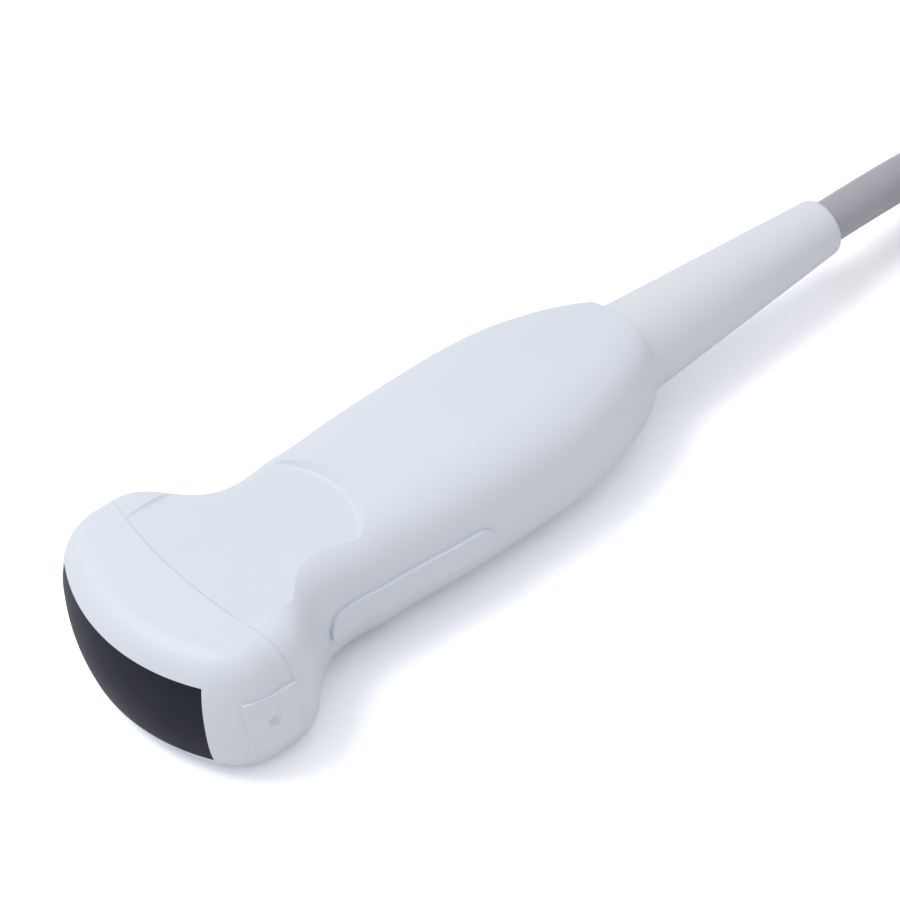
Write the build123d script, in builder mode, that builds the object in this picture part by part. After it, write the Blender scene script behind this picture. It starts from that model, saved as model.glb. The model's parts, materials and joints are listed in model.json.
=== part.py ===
from build123d import *
from math import atan, cos, degrees, pi, radians, sin, tan
import os

os.makedirs("parts", exist_ok=True)

# A curved-array ultrasound probe with its cable and its system connector, in millimetres.
# +X runs from the lens to the cable, +Y is the side without the index rib, +Z is up.
# The origin lies under the middle of the probe, on the surface that it rests on.

# Head
lens_radius = 42.0
lens_half_angle = 29.4
lens_height = 18.4
lens_thickness = 2.0
lens_crown = 1.2
lens_fit = 0.08
head_half_height = 13.9
cheek_radius = 12.9
edge_depth = 7.5
edge_fullness_share = 0.69
nose_depth = 17.1
seam_radius = 115.0
seam_gap = 0.25

# Handle
probe_length = 173.0
neck_at = 43.0
swell_at = 84.0
tail_at = 118.5
neck_half_width = 17.2
neck_half_height = 12.2
neck_edge_depth = 10.0
grip_half_width = 19.6
grip_half_height = 12.1
grip_edge_depth = 12.5
tail_half_width = 10.8
tail_half_height = 10.5
tail_edge_depth = 9.8
wall = 2.4
lap_fit = 0.12
spigot_length = 3.0
seal_thickness = 0.6
lip_height = 1.6

# Rows of the handle's sections: share of the way along, share of the way in width, in height
flare_shares = [
    (0.0, 0.0, 0.0),
    (0.15, 0.0, 0.0),
    (0.3, 0.1, 0.1),
    (0.45, 0.43, 0.33),
    (0.61, 0.8, 0.62),
    (0.8, 0.99, 0.88),
]
swell_shares = [(0.0, 0.0, 0.0), (0.2, 0.3, 0.2), (0.45, 0.7, 0.6), (0.72, 0.94, 0.95)]
tail_shares = [(0.0, 0.0, 0.0), (0.3, 0.05, 0.12), (0.56, 0.24, 0.34), (0.79, 0.55, 0.63), (1.0, 1.0, 1.0)]

# Thumb scoops, index rib, bracket pads and their detents
scoop_radius = 17.5
scoop_centre_at = 34.5
scoop_front_at = 17.0
scoop_foot_drop = 3.3
scoop_wall_taper = -38.0
scoop_foot_radius = 1.2
rib_front_at = 34.5
rib_rear_at = 70.5
rib_height = 5.6
rib_proud = 0.8
pad_front_at = 10.5
pad_half_height = 6.2
pad_front_half_width = 25.9
pad_bend_at = 16.0
pad_bend_half_width = 27.3
pad_rear_at = 24.0
pad_rear_half_width = 27.6
detent_at = 15.4
detent_radius = 1.5
detent_depth = 1.3
detent_tip_radius = 0.375

# Strain relief and the cable inside it
cable_diameter = 8.8
relief_base_radius = 9.6
relief_tip_radius = 5.9
relief_tip_rounding = 1.4
relief_neck_radius = 6.9
relief_flange_radius = 8.2
relief_flange_at = 107.5
relief_flange_length = 2.4
relief_neck_length = 2.6
relief_fit = 0.1
cable_start_at = 103.0

# Array stack behind the lens
stack_half_height = 6.8
stack_half_angle = 27.0
outer_matching_thickness = 0.3
inner_matching_thickness = 0.35
piezo_thickness = 0.5
element_count = 64
element_kerf = 0.08
backing_thickness = 7.8
spreader_thickness = 2.0
frame_half_height = 9.0
frame_half_angle = 29.2
frame_opening_half_height = 7.4
frame_opening_half_angle = 27.3
frame_depth = 11.0

# Electronics in the handle
flex_thickness = 0.2
flex_shoulder_at = 16.0
flex_shoulder_half_width = 11.5
flex_narrow_at = 33.0
flex_half_width = 6.0
flex_landing_at = 50.5
board_front_at = 38.0
board_rear_at = 88.0
board_half_width = 12.0
board_bottom = 4.5
board_thickness = 1.2
flex_connector_length = 6.0
coax_connector_length = 6.0
coax_connector_height = 1.9
coax_connector_half_width = 9.5
inductor_length = 2.2
inductor_width = 1.6
inductor_height = 1.2
inductor_pitch = 3.6
inductor_columns = 6
inductor_rows = 4
chassis_half_thickness = 1.0
chassis_half_width = 13.2
chassis_front_at = 17.0
chassis_plate_rear_at = 99.0
prong_rear_at = 107.0
prong_inner_half_width = 6.7
prong_half_width = 11.0
standoff_radius = 2.2
standoff_side = 9.0
standoff_front_at = 41.0
standoff_rear_at = 77.0
screw_shank_radius = 0.9
screw_head_radius = 1.8
screw_head_height = 1.2
screw_socket_radius = 0.9
screw_socket_depth = 0.6
can_thickness = 0.3
can_height = 8.4
can_shoulder = 5.4
can_crown_half_width = 10.6
can_front_at = 36.5
can_rear_at = 98.0
ribbon_width = 16.0
ribbon_thickness = 0.9
ribbon_throat_width = 4.6
ribbon_throat_thickness = 2.0
ribbon_throat_rise = 2.1
ferrule_length = 3.6
ferrule_thickness = 1.3
clamp_thickness = 1.6
clamp_length = 2.8
clamp_foot = 1.6
clamp_screw_side = 9.2
clamp_screw_radius = 0.7
clamp_screw_head_radius = 1.3
clamp_screw_head_height = 0.8

# Cable and its put-away hank
lay_height = 0.8
bend_share = 0.45
fold_inner_diameters = 3.0
cable_lead = 25.0
cable_fall = 25.0
cable_gap = 70.0
tie_run = 57.0
hank_run = 104.0
route_side = 4.2
hank_layers = 2
hank_lanes = 2
tie_width = 12.0
tie_thickness = 0.8
tie_corner = 1.6
tail_start_run = 19.0
tail_rise_run = 102.0
fold_turns = 6
boot_tip_run = 25.0
boot_length = 25.0

# System connector
housing_length = 92.0
housing_width = 56.0
front_depth = 12.0
rear_depth = 14.0
housing_corner = 9.0
housing_rounding = 2.0
housing_wall = 2.2
shroud_length = 62.0
shroud_width = 42.0
shroud_wall = 1.5
shroud_depth = 6.0
shroud_corner = 5.0
shroud_flange = 3.0
shroud_flange_thickness = 1.2
block_recess = 3.2
block_depth = 10.0
slot_length = 20.0
slot_width = 2.0
slot_depth = 3.5
slot_pitch = 5.2
slot_rows = 6
slot_offset = 17.0
pin_columns = 8
pin_length = 0.9
pin_width = 0.5
pin_height = 3.0
connector_board_gap = 1.0
connector_board_thickness = 1.6
connector_board_length = 68.0
connector_board_width = 44.0
spacer_pitch = 48.0
spacer_length = 4.0
spacer_width = 30.0
housing_screw_inset = 8.0
housing_screw_radius = 1.4
housing_screw_head_radius = 2.7
housing_boss_radius = 3.6
screw_recess = 3.0
shaft_radius = 3.4
shaft_fit = 0.35
cam_gap = 0.5
cam_length = 11.0
cam_width = 3.0
cam_height = 2.2
bushing_thickness = 1.4
bushing_flange = 1.2
bushing_flange_thickness = 1.0
retainer_thickness = 0.8
retainer_width = 2.0
knob_radius = 19.0
knob_base_height = 4.0
knob_bar_height = 9.0
knob_bar_width = 10.0
knob_rounding = 1.0
knob_gap = 0.5
knob_cap_radius = 3.2
knob_cap_depth = 1.2
boot_base_radius = 8.4
boot_tip_radius = 5.9
boot_neck_radius = 7.0
boot_flange_radius = 9.6
boot_flange_thickness = 2.0
fan_overhang = 1.5
fan_length = 9.0
fan_width = 24.0
overrun = 60.0
cut_overrun = 0.25

# Derived sizes
cable_radius = cable_diameter / 2
axis_height = head_half_height
middle_plane = Plane.XY.offset(axis_height)
relief_neck_at = relief_flange_at + relief_flange_length
relief_seat_at = relief_neck_at + relief_neck_length
hank_left_at = probe_length + cable_gap
tie_at = hank_left_at + tie_run
tail_start_at = hank_left_at + tail_start_run
tail_rise_at = hank_left_at + tail_rise_run
boot_tip_at = hank_left_at + boot_tip_run
housing_at = boot_tip_at + boot_length
fold_inner = fold_inner_diameters * cable_diameter
fold_outer = fold_inner + (hank_lanes - 1) * cable_diameter
hank_side = route_side - fold_outer
fold_tail_radius = -hank_side
hank_top = lay_height + hank_layers * cable_diameter


def at(station):
    """X of a place given by its distance behind the front of the lens."""
    return station - probe_length / 2


def blend(start, end, share):
    return start + (end - start) * share


lens_centre = Vector(at(lens_radius), 0, axis_height)
lens_axis = Axis(lens_centre, (0, 0, 1))
cheek_side = (lens_radius - cheek_radius) * sin(radians(lens_half_angle))
cheek_at = lens_radius - (lens_radius - cheek_radius) * cos(radians(lens_half_angle))
head_half_width = cheek_side + cheek_radius


def upright_plane(centre, heading):
    """Plane through a vertical axis: its x runs outward along the heading, its y is up."""
    outward = Vector(cos(radians(heading)), sin(radians(heading)), 0)
    return Plane(origin=centre, x_dir=outward, z_dir=outward.cross(Vector(0, 0, 1)))


def side_control(depth, half_height, reach):
    """Control points of the rounded side of a section, its upper and its lower curve."""
    crown = reach - depth * (1 - edge_fullness_share)
    shoulder = half_height * edge_fullness_share
    upper = [(reach - depth, half_height), (crown, half_height), (reach, shoulder), (reach, 0)]
    lower = [(x, -y) for x, y in reversed(upper)]
    return upper, lower


def radial_profile(plane, depth, half_height, reach, inner):
    """Half of a section, from an inner edge out to the rounded side."""
    upper, lower = side_control(depth, half_height, reach)
    with BuildSketch(plane) as profile:
        with BuildLine():
            Bezier(*upper)
            Bezier(*lower)
            Polyline(lower[-1], (inner, -half_height), (inner, half_height), upper[0])
        make_face()
    return profile.sketch


def body_section(station, half_width, half_height, depth):
    """A whole cross-section of the body: top and bottom flats joined by two rounded sides."""
    plane = Plane(origin=(at(station), 0, axis_height), x_dir=(0, 1, 0), z_dir=(1, 0, 0))
    upper, lower = side_control(depth, half_height, half_width)
    with BuildSketch(plane) as section:
        with BuildLine():
            Line((-upper[0][0], half_height), upper[0])
            Bezier(*upper)
            Bezier(*lower)
            Line(lower[-1], (-lower[-1][0], -half_height))
            Bezier(*[(-x, y) for x, y in reversed(lower)])
            Bezier(*[(-x, y) for x, y in reversed(upper)])
        make_face()
    return section.sketch


def handle_rows():
    """Station, half width, half height and edge depth of each section of the handle."""
    head = (head_half_width, head_half_height, edge_depth)
    neck = (neck_half_width, neck_half_height, neck_edge_depth)
    grip = (grip_half_width, grip_half_height, grip_edge_depth)
    tail = (tail_half_width, tail_half_height, tail_edge_depth)
    stretches = [
        (flare_shares, cheek_at, neck_at, head, neck),
        (swell_shares, neck_at, swell_at, neck, grip),
        (tail_shares, swell_at, tail_at, grip, tail),
    ]
    rows = []
    for shares, start, end, first, last in stretches:
        for along, wide, high in shares:
            rows.append(
                (
                    blend(start, end, along),
                    blend(first[0], last[0], wide),
                    blend(first[1], last[1], high),
                    blend(first[2], last[2], wide),
                )
            )
    return rows


def body_solid(inset):
    """The outer form of nose and handle together, drawn in by an inset."""
    depth = edge_depth - inset
    half_height = head_half_height - inset
    with BuildPart() as body:
        front = upright_plane(lens_centre, 180 - lens_half_angle)
        add(radial_profile(front, depth, half_height, lens_radius - inset, cheek_radius / 2))
        revolve(axis=lens_axis, revolution_arc=2 * lens_half_angle)
        for side, heading in ((cheek_side, 90), (-cheek_side, 180 + lens_half_angle)):
            centre = Vector(at(cheek_at), side, axis_height)
            add(radial_profile(upright_plane(centre, heading), depth, half_height, cheek_radius - inset, 0))
            revolve(axis=Axis(centre, (0, 0, 1)), revolution_arc=90 - lens_half_angle)
        split(bisect_by=Plane(origin=(at(cheek_at), 0, 0), z_dir=(-1, 0, 0)))
        loft(
            sections=[
                body_section(station, wide - inset, high - inset, edge - inset)
                for station, wide, high, edge in handle_rows()
            ]
        )
    return body.part


def seam_drum(shift):
    """Everything behind the curved seam, moved back by a shift."""
    with BuildPart() as drum:
        with BuildSketch(Plane(origin=(at(nose_depth + seam_radius + shift), 0, -overrun))):
            Circle(seam_radius)
        extrude(amount=2 * overrun + 2 * axis_height)
    return drum.part


def slab(start, end, low, high, half_width=overrun):
    """A block between two stations and two heights from the probe's axis."""
    with BuildPart() as block:
        with BuildSketch(middle_plane.offset(low)):
            with Locations((at((start + end) / 2), 0)):
                Rectangle(end - start, 2 * half_width)
        extrude(amount=high - low)
    return block.part


def rod(start, end, radius, inner=0.0):
    """A round bar or tube on the probe's axis."""
    with BuildPart() as bar:
        with BuildSketch(Plane(origin=(at(start), 0, axis_height), x_dir=(0, 1, 0), z_dir=(1, 0, 0))):
            Circle(radius)
            if inner:
                Circle(inner, mode=Mode.SUBTRACT)
        extrude(amount=end - start)
    return bar.part


def sector(outer, inner, half_height, half_angle, start_angle=None):
    """A block of the curved array between two radii, centred on the lens."""
    first = half_angle if start_angle is None else start_angle
    with BuildPart() as block:
        with BuildSketch(upright_plane(lens_centre, 180 - first)):
            with Locations(((outer + inner) / 2, 0)):
                Rectangle(outer - inner, 2 * half_height)
        revolve(axis=lens_axis, revolution_arc=2 * half_angle)
    return block.part


def save(builder, label):
    builder.part.label = label
    export_step(builder.part, f"parts/{label}.step")


# Thumb scoop: a dished floor that comes out of the head's top and ends in a crescent step
scoop_slope = atan(scoop_foot_drop / (scoop_centre_at + scoop_radius - scoop_front_at))
scoop_plane = Plane(
    origin=(at(scoop_front_at), 0, axis_height + head_half_height),
    x_dir=(cos(scoop_slope), 0, -sin(scoop_slope)),
    z_dir=(sin(scoop_slope), 0, cos(scoop_slope)),
)
with BuildPart() as scoop:
    scoop_reach = (scoop_centre_at - scoop_front_at) / cos(scoop_slope)
    with BuildSketch(scoop_plane):
        with Locations((scoop_reach, 0)):
            Circle(scoop_radius)
        with Locations((scoop_reach / 2, 0)):
            Rectangle(scoop_reach, 2 * scoop_radius)
    extrude(amount=scoop_foot_drop + scoop_radius / 2, taper=scoop_wall_taper)
    scoop_floor = scoop.faces().sort_by(Axis((0, 0, 0), scoop_plane.z_dir))[0]
    fillet(scoop_floor.edges().sort_by(Axis.X)[-1], scoop_foot_radius)
scoop_below = mirror(scoop.part, about=middle_plane)

# Body forms at the four depths of the wall: skin, both sides of the lap joint, and cavity
skin = body_solid(0.0)
groove_form = body_solid((wall - lap_fit) / 2)
tongue_form = body_solid((wall + lap_fit) / 2)
cavity_form = body_solid(wall)
seam_front = seam_drum(0.0)
seam_rear = seam_drum(seam_gap)
spigot_end = seam_drum(spigot_length)
seal_end = seam_drum(spigot_length + seal_thickness)

# Nose: the moulded front shell with its spigot, lens window, bracket pads and detents
with BuildPart() as nose_shell:
    add(skin)
    for direction in (1, -1):
        with BuildSketch(middle_plane.offset(-pad_half_height)):
            with BuildLine():
                Polyline(
                    (at(pad_front_at), 0),
                    (at(pad_front_at), direction * pad_front_half_width),
                    (at(pad_bend_at), direction * pad_bend_half_width),
                    (at(pad_rear_at), direction * pad_rear_half_width),
                    (at(pad_rear_at), 0),
                    close=True,
                )
            make_face()
        extrude(amount=2 * pad_half_height)
    add(seam_front, mode=Mode.SUBTRACT)
    add(tongue_form - spigot_end)
    add(cavity_form, mode=Mode.SUBTRACT)
    add(
        sector(lens_radius + wall, lens_radius - 2 * wall, lens_height / 2, lens_half_angle),
        mode=Mode.SUBTRACT,
    )
    for direction in (1, -1):
        detent_plane = Plane(
            origin=(at(detent_at), direction * (pad_bend_half_width + cut_overrun), axis_height),
            z_dir=(0, direction, 0),
        )
        with BuildSketch(detent_plane):
            Circle(detent_radius + cut_overrun)
        with BuildSketch(detent_plane.offset(-detent_depth)):
            Circle(detent_tip_radius)
        loft(mode=Mode.SUBTRACT)
save(nose_shell, "nose_shell")

# Lens: a silicone strip with a crowned face, bonded into the window
lens_angle = lens_half_angle - degrees(lens_fit / lens_radius)
lens_rise = lens_height / 2 - lens_fit
lens_edge_radius = lens_radius - lens_crown
lens_rear_radius = lens_radius - lens_thickness
with BuildPart() as lens:
    with BuildSketch(upright_plane(lens_centre, 180 - lens_angle)):
        with BuildLine():
            ThreePointArc((lens_edge_radius, -lens_rise), (lens_radius, 0), (lens_edge_radius, lens_rise))
            Polyline(
                (lens_edge_radius, lens_rise),
                (lens_rear_radius, lens_rise),
                (lens_rear_radius, -lens_rise),
                (lens_edge_radius, -lens_rise),
            )
        make_face()
    revolve(axis=lens_axis, revolution_arc=2 * lens_angle)
save(lens, "lens")

# Array stack, from the lens inwards: matching layers, ceramic elements, backing, heat spreader
inner_matching_radius = lens_rear_radius - outer_matching_thickness
piezo_radius = inner_matching_radius - inner_matching_thickness
backing_radius = piezo_radius - piezo_thickness
spreader_radius = backing_radius - backing_thickness
stack_rear_radius = spreader_radius - spreader_thickness

with BuildPart() as outer_matching_layer:
    add(sector(lens_rear_radius, inner_matching_radius, stack_half_height, stack_half_angle))
save(outer_matching_layer, "outer_matching_layer")

with BuildPart() as inner_matching_layer:
    add(sector(inner_matching_radius, piezo_radius, stack_half_height, stack_half_angle))
save(inner_matching_layer, "inner_matching_layer")

element_pitch = 2 * stack_half_angle / element_count
element_half_angle = (element_pitch - degrees(element_kerf / piezo_radius)) / 2
with BuildPart() as piezo_elements:
    for element in range(element_count):
        middle = (element + 1 / 2) * element_pitch - stack_half_angle
        first = middle + element_half_angle
        add(sector(piezo_radius, backing_radius, stack_half_height, element_half_angle, first))
save(piezo_elements, "piezo_elements")

with BuildPart() as backing_block:
    add(sector(backing_radius, spreader_radius, stack_half_height, stack_half_angle))
save(backing_block, "backing_block")

with BuildPart() as heat_spreader:
    add(sector(spreader_radius, stack_rear_radius, stack_half_height, stack_half_angle))
save(heat_spreader, "heat_spreader")

with BuildPart() as array_frame:
    add(sector(lens_rear_radius, lens_rear_radius - frame_depth, frame_half_height, frame_half_angle))
    add(
        sector(lens_radius, stack_rear_radius - wall, frame_opening_half_height, frame_opening_half_angle),
        mode=Mode.SUBTRACT,
    )
save(array_frame, "array_frame")

# Flex circuits: one along each face of the stack, narrowing to a strip that reaches its board
flex_corner_x = lens_centre.X - piezo_radius * cos(radians(stack_half_angle))
flex_corner_y = piezo_radius * sin(radians(stack_half_angle))
with BuildPart() as upper_flex_circuit:
    with BuildSketch(middle_plane.offset(stack_half_height)):
        with BuildLine():
            ThreePointArc(
                (flex_corner_x, -flex_corner_y),
                (lens_centre.X - piezo_radius, 0),
                (flex_corner_x, flex_corner_y),
            )
            Polyline(
                (flex_corner_x, flex_corner_y),
                (at(flex_shoulder_at), flex_shoulder_half_width),
                (at(flex_narrow_at), flex_half_width),
                (at(flex_landing_at), flex_half_width),
                (at(flex_landing_at), -flex_half_width),
                (at(flex_narrow_at), -flex_half_width),
                (at(flex_shoulder_at), -flex_shoulder_half_width),
                (flex_corner_x, -flex_corner_y),
            )
        make_face()
    extrude(amount=flex_thickness)
save(upper_flex_circuit, "upper_flex_circuit")

with BuildPart() as lower_flex_circuit:
    add(mirror(upper_flex_circuit.part, about=middle_plane))
save(lower_flex_circuit, "lower_flex_circuit")

# Chassis: a plate between the boards, with standoffs on both faces and a fork around the cable
standoff_spots = [
    (at(station), side)
    for station in (standoff_front_at, standoff_rear_at)
    for side in (-standoff_side, standoff_side)
]
clamp_at = prong_rear_at - ferrule_length / 2
clamp_screw_spots = [(at(clamp_at), side) for side in (-clamp_screw_side, clamp_screw_side)]
prong_middle = (prong_inner_half_width + prong_half_width) / 2
with BuildPart() as chassis:
    with BuildSketch(middle_plane.offset(-chassis_half_thickness)):
        with Locations((at((chassis_front_at + chassis_plate_rear_at) / 2), 0)):
            Rectangle(chassis_plate_rear_at - chassis_front_at, 2 * chassis_half_width)
        with Locations((lens_centre.X, 0)):
            Circle(stack_rear_radius)
        with Locations((at(chassis_plate_rear_at / 2), 0)):
            Rectangle(chassis_plate_rear_at, 2 * chassis_half_width, mode=Mode.INTERSECT)
        for side in (-prong_middle, prong_middle):
            with Locations((at((chassis_plate_rear_at + prong_rear_at) / 2), side)):
                Rectangle(prong_rear_at - chassis_plate_rear_at, prong_half_width - prong_inner_half_width)
    extrude(amount=2 * chassis_half_thickness)
    with BuildSketch(middle_plane.offset(-board_bottom)):
        with Locations(*standoff_spots):
            Circle(standoff_radius)
    extrude(amount=2 * board_bottom)
    with BuildSketch(middle_plane.offset(-board_bottom)):
        with Locations(*standoff_spots):
            Circle(screw_shank_radius)
        with Locations(*clamp_screw_spots):
            Circle(clamp_screw_radius)
    extrude(amount=2 * board_bottom, mode=Mode.SUBTRACT)
save(chassis, "chassis")

# Boards: the near face of each rests on the standoffs
board_top = board_bottom + board_thickness
with BuildPart() as upper_board:
    with BuildSketch(middle_plane.offset(board_bottom)):
        with Locations((at((board_front_at + board_rear_at) / 2), 0)):
            Rectangle(board_rear_at - board_front_at, 2 * board_half_width)
        with Locations(*standoff_spots):
            Circle(screw_shank_radius, mode=Mode.SUBTRACT)
    extrude(amount=board_thickness)
save(upper_board, "upper_board")

with BuildPart() as lower_board:
    add(mirror(upper_board.part, about=middle_plane))
save(lower_board, "lower_board")


def on_both_boards(centre_station, length, half_width, height):
    """A block on each board's outer face."""
    with BuildPart() as blocks:
        for low in (board_top, -board_top - height):
            with BuildSketch(middle_plane.offset(low)):
                with Locations((at(centre_station), 0)):
                    Rectangle(length, 2 * half_width)
            extrude(amount=height)
    return blocks.part


with BuildPart() as flex_connectors:
    add(
        on_both_boards(
            flex_landing_at - flex_connector_length / 2,
            flex_connector_length,
            flex_half_width,
            stack_half_height - board_top,
        )
    )
save(flex_connectors, "flex_connectors")

with BuildPart() as coax_connectors:
    add(
        on_both_boards(
            board_rear_at - coax_connector_length,
            coax_connector_length,
            coax_connector_half_width,
            coax_connector_height,
        )
    )
save(coax_connectors, "coax_connectors")

with BuildPart() as tuning_inductors:
    for low in (board_top, -board_top - inductor_height):
        with BuildSketch(middle_plane.offset(low)):
            with Locations((at((flex_landing_at + board_rear_at - coax_connector_length) / 2), 0)):
                with GridLocations(inductor_pitch, inductor_pitch, inductor_columns, inductor_rows):
                    Rectangle(inductor_length, inductor_width)
        extrude(amount=inductor_height)
save(tuning_inductors, "tuning_inductors")

with BuildPart() as board_screws:
    for direction in (1, -1):
        head_plane = Plane(
            origin=(0, 0, axis_height + direction * board_top), x_dir=(1, 0, 0), z_dir=(0, 0, direction)
        )
        with BuildSketch(head_plane):
            with Locations(*standoff_spots):
                Circle(screw_head_radius)
        extrude(amount=screw_head_height)
        with BuildSketch(head_plane):
            with Locations(*standoff_spots):
                Circle(screw_shank_radius)
        extrude(amount=-board_top + chassis_half_thickness)
        with BuildSketch(head_plane.offset(screw_head_height)):
            with Locations(*standoff_spots):
                RegularPolygon(screw_socket_radius, 6)
        extrude(amount=-screw_socket_depth, mode=Mode.SUBTRACT)
save(board_screws, "board_screws")

# Coax ribbons: from each board's rear connector down into the cable's throat
ribbon_rise = board_top + coax_connector_height - ribbon_thickness / 2
with BuildPart() as coax_ribbons:
    for direction in (1, -1):
        for station, width, thickness, rise in (
            (board_rear_at - coax_connector_length / 2, ribbon_width, ribbon_thickness, ribbon_rise),
            (cable_start_at, ribbon_throat_width, ribbon_throat_thickness, ribbon_throat_rise),
        ):
            with BuildSketch(
                Plane(
                    origin=(at(station), 0, axis_height + direction * rise), x_dir=(0, 1, 0), z_dir=(1, 0, 0)
                )
            ):
                Rectangle(width, thickness)
        loft()
save(coax_ribbons, "coax_ribbons")

# Shield cans: a folded cover over each board, standing on the edges of the chassis
with BuildPart() as upper_shield_can:
    with BuildSketch(Plane(origin=(at(can_front_at), 0, axis_height), x_dir=(0, 1, 0), z_dir=(1, 0, 0))):
        with BuildLine():
            can_edge = Polyline(
                (-chassis_half_width, chassis_half_thickness),
                (-chassis_half_width, can_shoulder),
                (-can_crown_half_width, can_height),
                (can_crown_half_width, can_height),
                (chassis_half_width, can_shoulder),
                (chassis_half_width, chassis_half_thickness),
            )
            offset(can_edge, amount=-can_thickness, side=Side.RIGHT)
        make_face()
    extrude(amount=can_rear_at - can_front_at)
save(upper_shield_can, "upper_shield_can")

with BuildPart() as lower_shield_can:
    add(mirror(upper_shield_can.part, about=middle_plane))
save(lower_shield_can, "lower_shield_can")

# Cable end, its crimped ferrule and the two clamp halves on the fork
with BuildPart() as cable_end:
    add(rod(cable_start_at, probe_length, cable_radius))
save(cable_end, "cable_end")

ferrule_at = prong_rear_at - ferrule_length
with BuildPart() as crimp_ferrule:
    add(rod(ferrule_at, prong_rear_at, cable_radius + ferrule_thickness, cable_radius))
save(crimp_ferrule, "crimp_ferrule")

clamp_inner = cable_radius + ferrule_thickness
clamp_start = clamp_at - clamp_length / 2
fork_top_plane = middle_plane.offset(chassis_half_thickness)
with BuildPart() as upper_cable_clamp:
    add(rod(clamp_start, clamp_start + clamp_length, clamp_inner + clamp_thickness))
    with BuildSketch(fork_top_plane):
        with Locations((at(clamp_at), 0)):
            Rectangle(clamp_length, 2 * prong_half_width)
    extrude(amount=clamp_foot)
    add(rod(clamp_start, clamp_start + clamp_length, clamp_inner), mode=Mode.SUBTRACT)
    split(bisect_by=fork_top_plane)
    with BuildSketch(fork_top_plane):
        with Locations(*clamp_screw_spots):
            Circle(clamp_screw_radius)
    extrude(amount=clamp_foot, mode=Mode.SUBTRACT)
save(upper_cable_clamp, "upper_cable_clamp")

with BuildPart() as lower_cable_clamp:
    add(mirror(upper_cable_clamp.part, about=middle_plane))
save(lower_cable_clamp, "lower_cable_clamp")

clamp_top = chassis_half_thickness + clamp_foot
with BuildPart() as clamp_screws:
    with BuildSketch(middle_plane.offset(clamp_top)):
        with Locations(*clamp_screw_spots):
            Circle(clamp_screw_head_radius)
    extrude(amount=clamp_screw_head_height)
    with BuildSketch(middle_plane.offset(-clamp_top)):
        with Locations(*clamp_screw_spots):
            Circle(clamp_screw_radius)
    extrude(amount=2 * clamp_top)
save(clamp_screws, "clamp_screws")

# Strain relief: a flange held inside the tail, a neck through its rib, and a tapering sleeve
with BuildPart() as strain_relief:
    with BuildSketch(Plane.XZ):
        with BuildLine():
            Polyline(
                (at(relief_flange_at), axis_height + cable_radius),
                (at(relief_flange_at), axis_height + relief_flange_radius),
                (at(relief_neck_at), axis_height + relief_flange_radius),
                (at(relief_neck_at), axis_height + relief_neck_radius),
                (at(relief_seat_at), axis_height + relief_neck_radius),
                (at(relief_seat_at), axis_height + relief_base_radius),
                (at(tail_at), axis_height + relief_base_radius),
                (at(probe_length), axis_height + relief_tip_radius),
                (at(probe_length), axis_height + cable_radius),
                close=True,
            )
        relief_face = make_face()
        fillet(
            relief_face.vertices().group_by(Axis.X)[-1].sort_by(Axis.Z)[-1],
            relief_tip_rounding,
        )
    revolve(axis=Axis((0, 0, axis_height), (1, 0, 0)))
save(strain_relief, "strain_relief")

# Handle: both shells come from one form, split at mid-height and lapped with a tongue and groove
with BuildPart() as rib:
    with BuildSketch(Plane.XZ):
        with Locations((at((rib_front_at + rib_rear_at) / 2), axis_height)):
            SlotOverall(rib_rear_at - rib_front_at, rib_height)
    extrude(amount=overrun)
    add(body_solid(-rib_proud), mode=Mode.INTERSECT)

with BuildPart() as handle_form:
    add(skin)
    add(rib.part)
    add(seam_rear, mode=Mode.INTERSECT)
    add(scoop.part, mode=Mode.SUBTRACT)
    add(scoop_below, mode=Mode.SUBTRACT)
    add(cavity_form - slab(relief_neck_at, tail_at, -overrun, overrun), mode=Mode.SUBTRACT)
    add(groove_form - seal_end, mode=Mode.SUBTRACT)
    add(rod(relief_neck_at - wall, tail_at, relief_neck_radius + relief_fit), mode=Mode.SUBTRACT)
    add(rod(relief_seat_at, tail_at, relief_base_radius + relief_fit), mode=Mode.SUBTRACT)

with BuildPart() as upper_handle_shell:
    add(handle_form.part)
    split(bisect_by=middle_plane)
    add(tongue_form & seal_end & slab(nose_depth, relief_neck_at, -lip_height, lap_fit))
    add(cavity_form - slab(relief_neck_at, tail_at, -overrun, overrun), mode=Mode.SUBTRACT)
save(upper_handle_shell, "upper_handle_shell")

with BuildPart() as lower_handle_shell:
    add(handle_form.part)
    split(bisect_by=middle_plane, keep=Keep.BOTTOM)
    add(groove_form & seal_end & slab(0, relief_neck_at, -lip_height - lap_fit, lap_fit), mode=Mode.SUBTRACT)
save(lower_handle_shell, "lower_handle_shell")

with BuildPart() as nose_seal:
    add(tongue_form & spigot_end)
    add(seal_end, mode=Mode.SUBTRACT)
    add(cavity_form, mode=Mode.SUBTRACT)
save(nose_seal, "nose_seal")

# Cable: the uncoiled stretch from the strain relief to the hank, lying on the surface
cable_route = [
    (probe_length, 0, axis_height),
    (probe_length + cable_lead, 0, axis_height),
    (probe_length + cable_lead + cable_fall, route_side, lay_height + cable_radius),
    (hank_left_at, route_side, lay_height + cable_radius),
]


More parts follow.
